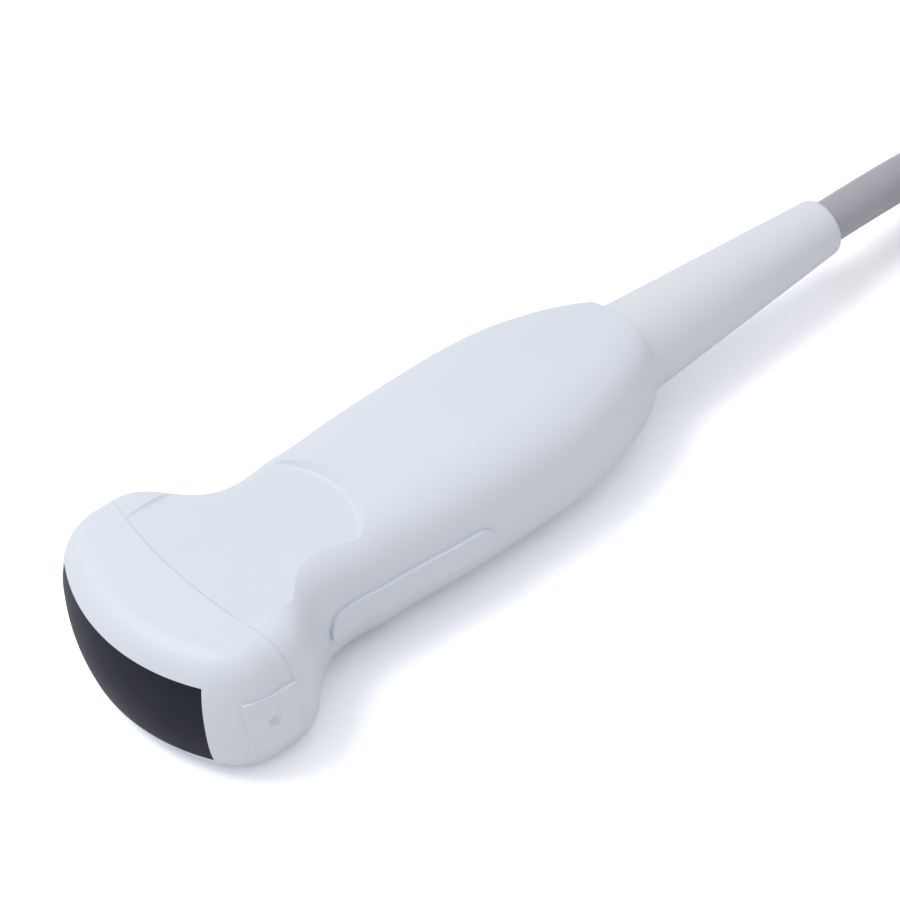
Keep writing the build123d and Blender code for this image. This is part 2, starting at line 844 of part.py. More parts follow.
def cable_tube(route):
    """A round cable along straight runs joined by tangent arcs, the radii set by each corner's runs."""
    corners = [Vector(at(station), side, height) for station, side, height in route]
    runs = [after - before for before, after in zip(corners, corners[1:])]
    radii = []
    for before, after in zip(runs, runs[1:]):
        half_turn = radians(before.get_angle(after)) / 2
        radii.append(bend_share * min(before.length, after.length) / tan(half_turn))
    with BuildPart() as tube:
        with BuildLine():
            line = FilletPolyline(*corners, radius=radii)
        with BuildSketch(Plane(origin=line @ 0, z_dir=line % 0)):
            Circle(cable_radius)
        sweep()
    print("bend radii in cable diameters:", [round(radius / cable_diameter, 2) for radius in radii])
    section = pi * cable_radius**2
    print("volume share of a plain tube:", round(tube.part.volume / (section * line.length), 4))
    return tube.part


with BuildPart() as cable:
    add(cable_tube(cable_route))
save(cable, "cable")

# Hank: two lanes in two layers around two folds, with one more lane on top where the cable leaves
hank_lane_side = hank_side - fold_tail_radius
with BuildPart() as cable_hank:
    with BuildSketch(Plane.XY.offset(lay_height)):
        with Locations((at(hank_left_at + hank_run / 2), hank_side)):
            SlotCenterToCenter(hank_run, 2 * (fold_outer + cable_radius))
            SlotCenterToCenter(hank_run, 2 * (fold_inner - cable_radius), mode=Mode.SUBTRACT)
        with Locations((at(hank_left_at - overrun), route_side + overrun - 2 * cable_radius)):
            Rectangle(2 * overrun, 2 * overrun, mode=Mode.SUBTRACT)
    extrude(amount=hank_layers * cable_diameter)
    with BuildSketch(Plane.XY.offset(hank_top)):
        with Locations((at((tail_start_at + tail_rise_at) / 2), hank_lane_side)):
            Rectangle(tail_rise_at - tail_start_at, cable_diameter)
    extrude(amount=cable_diameter)
save(cable_hank, "cable_hank")

# Tie: a strap around the hank's run, under the cable and over it
with BuildPart() as hank_tie:
    with BuildSketch(Plane(origin=(at(tie_at), 0, 0), x_dir=(0, 1, 0), z_dir=(1, 0, 0))):
        tie_middle = hank_side - (fold_inner + fold_outer) / 2
        tie_inner_height = (hank_layers + 1) * cable_diameter
        with Locations((tie_middle, lay_height + tie_inner_height / 2)):
            RectangleRounded(
                hank_lanes * cable_diameter + 2 * tie_thickness,
                tie_inner_height + 2 * tie_thickness,
                tie_corner,
            )
            Rectangle(hank_lanes * cable_diameter, tie_inner_height, mode=Mode.SUBTRACT)
    extrude(amount=tie_width)
save(hank_tie, "hank_tie")

# Cable tail: around the left fold on top of the hank, rising into the connector's boot
boot_height = hank_top + shroud_depth + front_depth
tail_route = [(tail_start_at, hank_lane_side, hank_top + cable_radius)]
for step in range(fold_turns):
    heading = radians(270 - (step + 1 / 2) * 180 / fold_turns)
    reach = fold_tail_radius / cos(radians(90 / fold_turns))
    tail_route.append(
        (
            hank_left_at + reach * cos(heading),
            hank_side + reach * sin(heading),
            blend(hank_top + cable_radius, boot_height, step / (fold_turns - 1)),
        )
    )
tail_route.append((boot_tip_at, hank_side + fold_tail_radius, boot_height))
with BuildPart() as cable_tail:
    add(cable_tube(tail_route))
save(cable_tail, "cable_tail")

# System connector: it lies on the hank with its contacts down and its locking knob up
housing_middle = at(housing_at + housing_length / 2)
shroud_top = hank_top + shroud_depth
split_height = shroud_top + front_depth
housing_top = split_height + rear_depth
block_bottom = hank_top + block_recess
block_top = block_bottom + block_depth
connector_board_bottom = block_top + connector_board_gap
connector_board_top = connector_board_bottom + connector_board_thickness
screw_spots = [
    (along * (housing_length / 2 - housing_screw_inset), across * (housing_width / 2 - housing_screw_inset))
    for along in (-1, 1)
    for across in (-1, 1)
]
slot_spots = [
    (along * slot_offset, (row - (slot_rows - 1) / 2) * slot_pitch)
    for along in (-1, 1)
    for row in range(slot_rows)
]


def housing_plane(height):
    return Plane(origin=(housing_middle, 0, height))


def boot_bar(start, end, radius):
    """A round bar on the axis of the connector's boot."""
    with BuildPart() as bar:
        with BuildSketch(Plane(origin=(at(start), 0, split_height), x_dir=(0, 1, 0), z_dir=(1, 0, 0))):
            Circle(radius)
        extrude(amount=end - start)
    return bar.part


with BuildPart() as connector_shroud:
    with BuildSketch(housing_plane(hank_top)):
        RectangleRounded(shroud_length, shroud_width, shroud_corner)
    extrude(amount=shroud_depth + housing_wall + shroud_flange_thickness)
    with BuildSketch(housing_plane(shroud_top + housing_wall)):
        RectangleRounded(shroud_length + 2 * shroud_flange, shroud_width + 2 * shroud_flange, shroud_corner)
    extrude(amount=shroud_flange_thickness)
    with BuildSketch(housing_plane(hank_top)):
        RectangleRounded(
            shroud_length - 2 * shroud_wall, shroud_width - 2 * shroud_wall, shroud_corner - shroud_wall
        )
    extrude(amount=shroud_depth + front_depth, mode=Mode.SUBTRACT)
save(connector_shroud, "connector_shroud")

with BuildPart() as contact_block:
    with BuildSketch(housing_plane(block_bottom)):
        RectangleRounded(
            shroud_length - 2 * shroud_wall, shroud_width - 2 * shroud_wall, shroud_corner - shroud_wall
        )
        Circle(shaft_radius + shaft_fit, mode=Mode.SUBTRACT)
    extrude(amount=block_depth)
    with BuildSketch(housing_plane(block_bottom)):
        with Locations(*slot_spots):
            Rectangle(slot_length, slot_width)
    extrude(amount=slot_depth, mode=Mode.SUBTRACT)
save(contact_block, "contact_block")

with BuildPart() as contact_pins:
    with BuildSketch(housing_plane(block_bottom + slot_depth - pin_height)):
        with Locations(*slot_spots):
            with GridLocations(slot_length / pin_columns, 0, pin_columns, 1):
                Rectangle(pin_length, pin_width)
    extrude(amount=pin_height)
save(contact_pins, "contact_pins")

with BuildPart() as connector_board:
    with BuildSketch(housing_plane(connector_board_bottom)):
        Rectangle(connector_board_length, connector_board_width)
        Circle(shaft_radius + shaft_fit, mode=Mode.SUBTRACT)
    extrude(amount=connector_board_thickness)
save(connector_board, "connector_board")

with BuildPart() as board_spacers:
    with BuildSketch(housing_plane(block_top)):
        with GridLocations(spacer_pitch, 0, 2, 1):
            Rectangle(spacer_length, spacer_width)
    extrude(amount=connector_board_gap)
save(board_spacers, "board_spacers")

with BuildPart() as connector_front_shell:
    with BuildSketch(housing_plane(shroud_top)):
        RectangleRounded(housing_length, housing_width, housing_corner)
    extrude(amount=front_depth)
    fillet(connector_front_shell.faces().sort_by(Axis.Z)[0].edges(), housing_rounding)
    with BuildSketch(housing_plane(shroud_top + housing_wall)):
        RectangleRounded(
            housing_length - 2 * housing_wall, housing_width - 2 * housing_wall, housing_corner - housing_wall
        )
    extrude(amount=front_depth, mode=Mode.SUBTRACT)
    with BuildSketch(housing_plane(shroud_top)):
        with Locations(*screw_spots):
            Circle(housing_boss_radius)
    extrude(amount=front_depth)
    with BuildSketch(housing_plane(shroud_top)):
        RectangleRounded(shroud_length, shroud_width, shroud_corner)
    extrude(amount=housing_wall, mode=Mode.SUBTRACT)
    with BuildSketch(housing_plane(shroud_top + housing_wall)):
        with Locations(*screw_spots):
            Circle(housing_screw_radius)
    extrude(amount=front_depth, mode=Mode.SUBTRACT)
    add(boot_bar(housing_at, housing_at + housing_wall, boot_neck_radius), mode=Mode.SUBTRACT)
save(connector_front_shell, "connector_front_shell")

with BuildPart() as connector_rear_shell:
    with BuildSketch(housing_plane(split_height)):
        RectangleRounded(housing_length, housing_width, housing_corner)
    extrude(amount=rear_depth)
    fillet(connector_rear_shell.faces().sort_by(Axis.Z)[-1].edges(), housing_rounding)
    with BuildSketch(housing_plane(split_height)):
        RectangleRounded(
            housing_length - 2 * housing_wall, housing_width - 2 * housing_wall, housing_corner - housing_wall
        )
    extrude(amount=rear_depth - housing_wall, mode=Mode.SUBTRACT)
    with BuildSketch(housing_plane(split_height)):
        with Locations(*screw_spots):
            Circle(housing_boss_radius)
    extrude(amount=rear_depth - housing_wall)
    with BuildSketch(housing_plane(split_height)):
        with Locations(*screw_spots):
            Circle(housing_screw_radius)
        Circle(shaft_radius + shaft_fit + bushing_thickness)
    extrude(amount=rear_depth, mode=Mode.SUBTRACT)
    with BuildSketch(housing_plane(housing_top - screw_recess)):
        with Locations(*screw_spots):
            Circle(housing_screw_head_radius)
    extrude(amount=screw_recess, mode=Mode.SUBTRACT)
    add(boot_bar(housing_at, housing_at + housing_wall, boot_neck_radius), mode=Mode.SUBTRACT)
save(connector_rear_shell, "connector_rear_shell")

with BuildPart() as housing_screws:
    with BuildSketch(housing_plane(shroud_top + housing_wall)):
        with Locations(*screw_spots):
            Circle(housing_screw_radius)
    extrude(amount=housing_top - screw_recess - shroud_top - housing_wall)
    with BuildSketch(housing_plane(housing_top - screw_recess)):
        with Locations(*screw_spots):
            Circle(housing_screw_head_radius)
    extrude(amount=screw_recess / 2)
    with BuildSketch(housing_plane(housing_top - screw_recess / 2)):
        with Locations(*screw_spots):
            RegularPolygon(housing_screw_radius, 6)
    extrude(amount=-screw_recess / 3, mode=Mode.SUBTRACT)
save(housing_screws, "housing_screws")

# Lock: a shaft from the knob through the housing to the cam that draws the contacts home
bushing_bottom = housing_top - housing_wall - bushing_flange_thickness
with BuildPart() as lock_bushing:
    with BuildSketch(housing_plane(bushing_bottom)):
        Circle(shaft_radius + shaft_fit + bushing_thickness + bushing_flange)
    extrude(amount=bushing_flange_thickness)
    with BuildSketch(housing_plane(bushing_bottom)):
        Circle(shaft_radius + shaft_fit + bushing_thickness)
    extrude(amount=housing_top - bushing_bottom)
    with BuildSketch(housing_plane(bushing_bottom)):
        Circle(shaft_radius + shaft_fit)
    extrude(amount=housing_top - bushing_bottom, mode=Mode.SUBTRACT)
save(lock_bushing, "lock_bushing")

knob_bottom = housing_top + knob_gap
with BuildPart() as lock_shaft:
    with BuildSketch(housing_plane(hank_top + cam_gap)):
        Circle(shaft_radius)
    extrude(amount=knob_bottom + knob_base_height - hank_top - cam_gap)
    with BuildSketch(housing_plane(hank_top + cam_gap)):
        SlotOverall(cam_length, cam_width)
    extrude(amount=cam_height)
save(lock_shaft, "lock_shaft")

with BuildPart() as shaft_retainer:
    with BuildSketch(housing_plane(bushing_bottom - knob_gap - retainer_thickness)):
        Circle(shaft_radius + retainer_width)
        Circle(shaft_radius, mode=Mode.SUBTRACT)
    extrude(amount=retainer_thickness)
save(shaft_retainer, "shaft_retainer")

with BuildPart() as lock_knob:
    with BuildSketch(housing_plane(knob_bottom)):
        Circle(knob_radius)
    extrude(amount=knob_base_height)
    with BuildSketch(housing_plane(knob_bottom + knob_base_height)):
        Circle(knob_radius)
        Rectangle(2 * knob_radius, knob_bar_width, mode=Mode.INTERSECT)
    extrude(amount=knob_bar_height)
    fillet(lock_knob.edges().group_by(Axis.Z)[-1], knob_rounding)
    with BuildSketch(housing_plane(knob_bottom)):
        Circle(shaft_radius)
    extrude(amount=knob_base_height, mode=Mode.SUBTRACT)
    with BuildSketch(housing_plane(knob_bottom + knob_base_height + knob_bar_height)):
        Circle(knob_cap_radius)
    extrude(amount=-knob_cap_depth, mode=Mode.SUBTRACT)
save(lock_knob, "lock_knob")

with BuildPart() as knob_cap:
    with BuildSketch(housing_plane(knob_bottom + knob_base_height + knob_bar_height - knob_cap_depth)):
        Circle(knob_cap_radius)
    extrude(amount=knob_cap_depth)
save(knob_cap, "knob_cap")

# Boot and cable entry of the connector
with BuildPart() as connector_boot:
    with BuildSketch(Plane.XZ):
        with BuildLine():
            Polyline(
                (at(boot_tip_at), split_height + cable_radius),
                (at(boot_tip_at), split_height + boot_tip_radius),
                (at(housing_at), split_height + boot_base_radius),
                (at(housing_at), split_height + boot_neck_radius),
                (at(housing_at + housing_wall), split_height + boot_neck_radius),
                (at(housing_at + housing_wall), split_height + boot_flange_radius),
                (at(housing_at + housing_wall + boot_flange_thickness), split_height + boot_flange_radius),
                (at(housing_at + housing_wall + boot_flange_thickness), split_height + cable_radius),
                close=True,
            )
        boot_face = make_face()
        fillet(boot_face.vertices().group_by(Axis.X)[0].sort_by(Axis.Z)[-1], relief_tip_rounding / 2)
    revolve(axis=Axis((0, 0, split_height), (1, 0, 0)))
save(connector_boot, "connector_boot")

fan_at = housing_at + housing_wall + boot_flange_thickness + fan_overhang
with BuildPart() as connector_cable_end:
    add(boot_bar(boot_tip_at, fan_at, cable_radius))
save(connector_cable_end, "connector_cable_end")

with BuildPart() as connector_fan_out:
    for station, width, thickness, height in (
        (fan_at, ribbon_throat_width, ribbon_throat_thickness, split_height),
        (fan_at + fan_length, fan_width, ribbon_thickness, connector_board_top + ribbon_thickness / 2),
    ):
        with BuildSketch(Plane(origin=(at(station), 0, height), x_dir=(0, 1, 0), z_dir=(1, 0, 0))):
            Rectangle(width, thickness)
    loft()
save(connector_fan_out, "connector_fan_out")
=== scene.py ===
import json
import math

import bmesh
import bpy
from mathutils import Matrix, Vector


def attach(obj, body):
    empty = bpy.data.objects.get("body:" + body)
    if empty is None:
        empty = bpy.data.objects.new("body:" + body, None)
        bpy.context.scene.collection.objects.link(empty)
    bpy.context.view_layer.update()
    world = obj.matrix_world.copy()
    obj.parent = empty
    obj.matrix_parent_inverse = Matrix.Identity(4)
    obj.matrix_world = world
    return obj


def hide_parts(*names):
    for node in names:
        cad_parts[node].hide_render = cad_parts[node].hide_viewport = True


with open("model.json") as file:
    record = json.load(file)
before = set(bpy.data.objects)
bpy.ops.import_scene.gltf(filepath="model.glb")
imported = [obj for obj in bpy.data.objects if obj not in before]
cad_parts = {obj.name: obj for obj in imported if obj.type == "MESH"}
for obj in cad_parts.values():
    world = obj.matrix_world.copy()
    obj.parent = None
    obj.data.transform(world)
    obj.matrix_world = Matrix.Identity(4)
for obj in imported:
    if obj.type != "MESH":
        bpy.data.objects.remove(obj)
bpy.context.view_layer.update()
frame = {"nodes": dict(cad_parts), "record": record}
nodes = frame["nodes"]

# Sizes from the CAD part, in metres
MM = 0.001
PROBE_LENGTH = 173.0 * MM
AXIS_HEIGHT = 13.9 * MM
CABLE_DIAMETER = 8.8 * MM
LAY_HEIGHT = 0.8 * MM
CABLE_LEAD = 25.0 * MM
CABLE_FALL = 25.0 * MM
HANK_LEFT = PROBE_LENGTH + 70.0 * MM
HANK_RUN = 104.0 * MM
ROUTE_SIDE = 4.2 * MM
HANK_LANES = 2
HANK_LAYERS = 2
FOLD_DIAMETERS = 3
FOLD_INNER = FOLD_DIAMETERS * CABLE_DIAMETER
FOLD_OUTER = (FOLD_DIAMETERS + HANK_LANES - 1) * CABLE_DIAMETER
HANK_SIDE = ROUTE_SIDE - FOLD_OUTER
FOLD_TAIL = -HANK_SIDE
BOOT_HEIGHT = 36.4 * MM
BOOT_TIP = HANK_LEFT + 25.0 * MM
BOOT_INSET = 2 * CABLE_DIAMETER
NOSE_DEPTH = 17.1 * MM
SEAM_RADIUS = 115.0 * MM
SEAM_GAP = 0.25 * MM


def at(station):
    """X of a place given by its distance behind the front of the lens."""
    return station - PROBE_LENGTH / 2


# Camera: the photograph's angle, from in front of the head, on the rib's side and above
CAMERA_PLACE = Vector((-244.54, -314.98, 396.19)) * MM
CAMERA_HEADING = math.radians(36.76)
CAMERA_DROP = math.radians(43.97)
CAMERA_ROLL = math.radians(-4.98)
CAMERA_LENS = 120.0
SENSOR_WIDTH = 36.0
CLIP_START = 0.01


def add_camera():
    right = Vector((math.cos(CAMERA_HEADING), -math.sin(CAMERA_HEADING), 0))
    level = Vector((math.sin(CAMERA_HEADING), math.cos(CAMERA_HEADING), 0))
    forward = math.cos(CAMERA_DROP) * level - math.sin(CAMERA_DROP) * Vector((0, 0, 1))
    up = right.cross(forward)
    turned_right = math.cos(CAMERA_ROLL) * right + math.sin(CAMERA_ROLL) * up
    turned_up = turned_right.cross(forward)
    turn = Matrix((turned_right, turned_up, -forward)).transposed()
    data = bpy.data.cameras.new("camera")
    data.sensor_width = SENSOR_WIDTH
    data.lens = CAMERA_LENS
    data.clip_start = CLIP_START
    camera = bpy.data.objects.new("camera", data)
    camera.matrix_world = Matrix.Translation(CAMERA_PLACE) @ turn.to_4x4()
    bpy.context.scene.collection.objects.link(camera)
    bpy.context.scene.camera = camera


add_camera()

# Cord: from the strain relief to the surface, round the hank and up into the connector's boot
FOLD_STEPS = 10
TAIL_STEPS = 6
BEVEL_RESOLUTION = 6
SPLINE_RESOLUTION = 8


def fold(side, radii, heights):
    """Control points round one fold, from the first to the last of two radii and heights."""
    centre = HANK_LEFT + (HANK_RUN if side == "right" else 0)
    start = 90 if side == "right" else 270
    inward = -1 if side == "right" else 1
    spacing = 2 * math.tan(math.radians(90 / FOLD_STEPS))
    across = math.sin(math.radians(start))
    points = [(at(centre + inward * spacing * radii[0]), HANK_SIDE + across * radii[0], heights[0])]
    for step in range(FOLD_STEPS):
        share = (step + 0.5) / FOLD_STEPS
        heading = math.radians(start - 180 * share)
        reach = radii[0] + (radii[1] - radii[0]) * share
        reach /= math.cos(math.radians(90 / FOLD_STEPS))
        height = heights[0] + (heights[1] - heights[0]) * share
        side_at = HANK_SIDE + reach * math.sin(heading)
        points.append((at(centre + reach * math.cos(heading)), side_at, height))
    points.append((at(centre + inward * spacing * radii[1]), HANK_SIDE - across * radii[1], heights[1]))
    return points


def cord_points():
    layer = [LAY_HEIGHT + CABLE_DIAMETER * (level + 0.5) for level in range(HANK_LAYERS + 1)]
    points = [
        (at(PROBE_LENGTH), 0, AXIS_HEIGHT),
        (at(PROBE_LENGTH + CABLE_LEAD), 0, AXIS_HEIGHT),
        (at(PROBE_LENGTH + CABLE_LEAD + CABLE_FALL), ROUTE_SIDE, layer[0]),
        (at(HANK_LEFT), ROUTE_SIDE, layer[0]),
    ]
    points += fold("right", (FOLD_OUTER, FOLD_OUTER), (layer[0], layer[0]))
    points += fold("left", (FOLD_OUTER, FOLD_INNER), (layer[0], layer[0]))
    points += fold("right", (FOLD_INNER, FOLD_INNER), (layer[0], layer[0]))
    points += fold("left", (FOLD_INNER, FOLD_INNER), (layer[0], layer[1]))
    points += fold("right", (FOLD_INNER, FOLD_INNER), (layer[1], layer[1]))
    points += fold("left", (FOLD_INNER, FOLD_OUTER), (layer[1], layer[1]))
    points += fold("right", (FOLD_OUTER, FOLD_TAIL), (layer[1], layer[2]))
    for step in range(TAIL_STEPS):
        heading = math.radians(270 - (step + 0.5) * 180 / TAIL_STEPS)
        reach = FOLD_TAIL / math.cos(math.radians(90 / TAIL_STEPS))
        height = layer[2] + (BOOT_HEIGHT - layer[2]) * step / (TAIL_STEPS - 1)
        side_at = HANK_SIDE + reach * math.sin(heading)
        points.append((at(HANK_LEFT + reach * math.cos(heading)), side_at, height))
    points += [(at(BOOT_TIP), 0, BOOT_HEIGHT), (at(BOOT_TIP + BOOT_INSET), 0, BOOT_HEIGHT)]
    return points


def ring_mesh(name, rings):
    """A closed ring whose cross-sections are loops of as many points each."""
    count = len(rings[0])
    points = [point for ring in rings for point in ring]
    faces = []
    for row in range(len(rings)):
        near = row * count
        far = (row + 1) % len(rings) * count
        for step in range(count):
            after = (step + 1) % count
            faces.append((near + step, near + after, far + after, far + step))
    mesh = bpy.data.meshes.new(name)
    mesh.from_pydata(points, [], faces)
    mesh.validate()
    piece = bpy.data.objects.new(name, mesh)
    bpy.context.scene.collection.objects.link(piece)
    return piece


# Tie: a strap of hook and loop fabric round one side of the hank, its free end lapped over the top
TIE_FRONT = PROBE_LENGTH + 127.0 * MM
TIE_WIDTH = 12.0 * MM
TIE_MIDDLE = HANK_SIDE - (FOLD_INNER + FOLD_OUTER) / 2
TIE_INNER_WIDTH = HANK_LANES * CABLE_DIAMETER
TIE_INNER_HEIGHT = (HANK_LAYERS + 1) * CABLE_DIAMETER
TIE_CORNER = 2.4 * MM
TIE_THICKNESS = 0.7 * MM
TIE_LAP = 9.0 * MM
TIE_PUFF = 0.25 * MM
TIE_PUFF_POWER = 0.5
TIE_RIBS = 8
CORNER_STEPS = 6


def tie_path():
    """Places and outward headings along the strap's inner face, once round the hank's run."""
    half_width = TIE_INNER_WIDTH / 2
    half_height = TIE_INNER_HEIGHT / 2
    middle = LAY_HEIGHT + half_height
    corners = [(1, -1, 270), (1, 1, 0), (-1, 1, 90), (-1, -1, 180)]
    path = []
    for across, up, start in corners:
        for step in range(CORNER_STEPS + 1):
            heading = math.radians(start + 90 * step / CORNER_STEPS)
            side = TIE_MIDDLE + across * (half_width - TIE_CORNER) + TIE_CORNER * math.cos(heading)
            height = middle + up * (half_height - TIE_CORNER) + TIE_CORNER * math.sin(heading)
            path.append((side, height, heading))
    return path


def strap_mesh(name, path, lift, closed):
    """A strap of even width along a path, its faces slightly puffed between the woven edges."""
    rings = []
    for side, height, heading in path:
        ring = []
        for face in (1, -1):
            for step in range(TIE_RIBS + 1):
                share = step / TIE_RIBS if face > 0 else 1 - step / TIE_RIBS
                puff = TIE_PUFF * math.sin(math.pi * share) ** TIE_PUFF_POWER if face > 0 else 0
                reach = lift + (TIE_THICKNESS - TIE_PUFF + puff if face > 0 else 0)
                ring.append((
                    at(TIE_FRONT + TIE_WIDTH * share),
                    side + reach * math.cos(heading),
                    height + reach * math.sin(heading),
                ))
        rings.append(ring)
    piece = ring_mesh(name, rings)
    if not closed:
        mesh = bmesh.new()
        mesh.from_mesh(piece.data)
        mesh.verts.ensure_lookup_table()
        count = len(rings[0])
        last = len(mesh.verts) - count
        first_end = {mesh.verts[i] for i in range(count)}
        last_end = {mesh.verts[last + i] for i in range(count)}
        between = [
            face
            for face in mesh.faces
            if first_end.intersection(face.verts) and last_end.intersection(face.verts)
        ]
        bmesh.ops.delete(mesh, geom=between, context="FACES")
        mesh.faces.new([mesh.verts[i] for i in range(count)])
        mesh.faces.new([mesh.verts[last + i] for i in reversed(range(count))])
        bmesh.ops.recalc_face_normals(mesh, faces=mesh.faces)
        mesh.to_mesh(piece.data)
        mesh.free()
    return piece


def add_tie():
    path = tie_path()
    strap = strap_mesh("tie_strap", path, 0.0, True)
    middle_height = LAY_HEIGHT + TIE_INNER_HEIGHT / 2
    top = [spot for spot in path if spot[1] > middle_height and spot[0] > TIE_MIDDLE]
    end_height = LAY_HEIGHT + TIE_INNER_HEIGHT
    top.append((TIE_MIDDLE + TIE_INNER_WIDTH / 2 - TIE_CORNER - TIE_LAP, end_height, math.radians(90)))
    lap = strap_mesh("tie_lap", top, TIE_THICKNESS, False)
    for piece in (strap, lap):
        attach(piece, "probe")
    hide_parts("hank_tie")
    return [strap, lap]


tie_pieces = add_tie()


def add_cord():
    data = bpy.data.curves.new("cable_cord", "CURVE")
    data.dimensions = "3D"
    # The points' own radius gives the thickness, so the depth only scales it
    data.bevel_depth = 1.0
    data.bevel_resolution = BEVEL_RESOLUTION
    data.resolution_u = SPLINE_RESOLUTION
    data.use_fill_caps = True
    spline = data.splines.new("NURBS")
    points = cord_points()
    spline.points.add(len(points) - 1)
    for point, place in zip(spline.points, points):
        point.co = (*place, 1)
        point.radius = CABLE_DIAMETER / 2
    spline.order_u = 3
    spline.use_endpoint_u = True
    cord = bpy.data.objects.new("cable_cord", data)
    bpy.context.scene.collection.objects.link(cord)
    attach(cord, "probe")
    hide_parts("cable", "cable_hank", "cable_tail")
    return cord


cord = add_cord()

# Seam: a fine bead fills the groove between the nose and the handle, nearly flush with both
BEAD_STEPS = 240
BEAD_FIT = 0.01 * MM
BEAD_SINK = 0.02 * MM
BEAD_STEP = 0.1 * MM
BEAD_DEPTH = 0.5 * MM
BEAD_PROBE = 0.06 * MM
REACH_ROUNDS = 5
RAY_START = 60.0 * MM


def seam_front(side):
    """X of the front edge of the curved seam at a distance from the probe's axis."""
    return at(NOSE_DEPTH + SEAM_RADIUS) - math.sqrt(SEAM_RADIUS**2 - side**2)


def shell_reach(shells, shift, heading, reach=0.0):
    """How far the shells reach from the axis beside the seam, in one direction round it."""
    across, up = math.cos(heading), math.sin(heading)
    for _ in range(REACH_ROUNDS):
        front = seam_front(reach * across) + shift
        start = Vector((front, RAY_START * across, AXIS_HEIGHT + RAY_START * up))
        found = 0.0
        for shell in shells:
            hit, place, _, _ = shell.ray_cast(start, Vector((0, -across, -up)))
            if hit:
                found = max(found, RAY_START - (place - start).length)
        reach = found or reach
    return reach


def add_seam_bead():
    handle_shells = [nodes["upper_handle_shell"], nodes["lower_handle_shell"]]
    rings = []
    for step in range(BEAD_STEPS):
        heading = 2 * math.pi * (step + 0.5) / BEAD_STEPS
        across, up = math.cos(heading), math.sin(heading)
        nose = shell_reach([nodes["nose_shell"]], -BEAD_PROBE, heading)
        handle = shell_reach(handle_shells, SEAM_GAP + BEAD_PROBE, heading, nose)
        nose = min(nose, handle + BEAD_STEP) - BEAD_SINK
        handle -= BEAD_SINK
        ring = []
        for shift, reach in (
            (BEAD_FIT, nose),
            (SEAM_GAP / 2, (nose + handle) / 2 - BEAD_SINK),
            (SEAM_GAP - BEAD_FIT, handle),
            (SEAM_GAP - BEAD_FIT, handle - BEAD_DEPTH),
            (BEAD_FIT, nose - BEAD_DEPTH),
        ):
            ring.append((seam_front(reach * across) + shift, reach * across, AXIS_HEIGHT + reach * up))
        rings.append(ring)
    bead = ring_mesh("seam_bead", rings)
    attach(bead, "probe")
    return bead


bpy.context.view_layer.update()
bead = add_seam_bead()


# Materials: every one is a Principled surface with its own grain and its own uneven gloss
GRAIN_DETAIL = 3
PATCH_SCALE = 60
PATCH_DETAIL = 2
GLOSS_SPREAD = 0.08
LEAST_ROUGHNESS = 0.02


def new_material(name, colour, roughness, grain_size, grain_depth, mottle=0.04, metallic=0.0, specular=0.5):
    """Grain size and depth in metres; mottle is a share of the colour either way."""
    material = bpy.data.materials.new(name)
    material.use_nodes = True
    tree = material.node_tree
    shader = tree.nodes["Principled BSDF"]
    shader.inputs["Metallic"].default_value = metallic
    shader.inputs["Specular IOR Level"].default_value = specular
    place = tree.nodes.new("ShaderNodeTexCoord")
    grain = tree.nodes.new("ShaderNodeTexNoise")
    grain.inputs["Scale"].default_value = 1 / grain_size
    grain.inputs["Detail"].default_value = GRAIN_DETAIL
    tree.links.new(place.outputs["Object"], grain.inputs["Vector"])
    bump = tree.nodes.new("ShaderNodeBump")
    bump.inputs["Strength"].default_value = 1.0
    bump.inputs["Distance"].default_value = grain_depth
    tree.links.new(grain.outputs["Fac"], bump.inputs["Height"])
    tree.links.new(bump.outputs["Normal"], shader.inputs["Normal"])
    patch = tree.nodes.new("ShaderNodeTexNoise")
    patch.inputs["Scale"].default_value = PATCH_SCALE
    patch.inputs["Detail"].default_value = PATCH_DETAIL
    tree.links.new(place.outputs["Object"], patch.inputs["Vector"])
    shade = tree.nodes.new("ShaderNodeMix")
    shade.data_type = "RGBA"
    shade.inputs["A"].default_value = (*[c * (1 - mottle) for c in colour], 1)
    shade.inputs["B"].default_value = (*[min(1, c * (1 + mottle)) for c in colour], 1)
    tree.links.new(patch.outputs["Fac"], shade.inputs["Factor"])
    tree.links.new(shade.outputs["Result"], shader.inputs["Base Color"])
    gloss = tree.nodes.new("ShaderNodeMapRange")
    gloss.inputs["To Min"].default_value = max(LEAST_ROUGHNESS, roughness - GLOSS_SPREAD)
    gloss.inputs["To Max"].default_value = min(1.0, roughness + GLOSS_SPREAD)
    tree.links.new(patch.outputs["Fac"], gloss.inputs["Value"])
    tree.links.new(gloss.outputs["Result"], shader.inputs["Roughness"])
    return material


